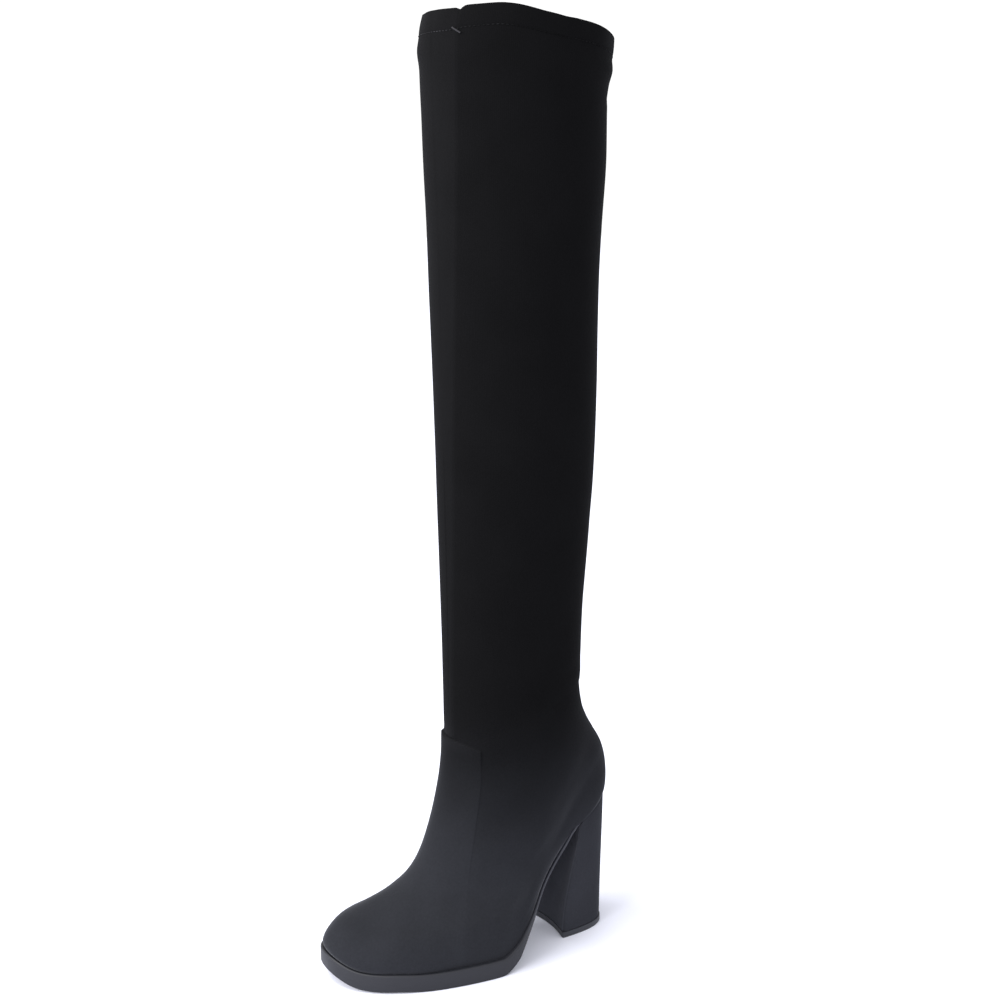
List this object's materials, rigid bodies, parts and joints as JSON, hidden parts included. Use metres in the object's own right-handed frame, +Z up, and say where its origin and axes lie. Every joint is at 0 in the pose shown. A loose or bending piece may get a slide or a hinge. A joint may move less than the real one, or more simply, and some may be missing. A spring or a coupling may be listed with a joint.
{
  "type": "thigh high boot",
  "caption": "Black stretch sock boot for the left foot, reaching over the knee, on a flared block heel with a rounded toe.",
  "frame": {"origin": "middle of the heel's resting face, on the floor", "axes": "+Z up along the leg, the toe points along -Y, +X is the wearer's left, the outer side of this left boot"},
  "size_m": [0.1266, 0.2274, 0.6568],
  "materials": {
    "upper": "black brushed stretch fabric drawn over the last, matt",
    "shaft": "black knitted stretch fabric, matt",
    "hem_band": "the leg's fabric turned in and stitched, matt",
    "outsole": "black moulded rubber, satin side",
    "insole": "dark sock lining on a board, matt",
    "heel": "plastic block covered in the upper's fabric, matt",
    "heel_top_lift": "black hard rubber, satin"
  },
  "bodies": {
    "root": {"upper": "upper", "shaft": "shaft", "hem_band": "hem_band", "outsole": "outsole", "insole": "insole", "heel": "heel", "heel_top_lift": "heel_top_lift"}
  },
  "joints": []
}
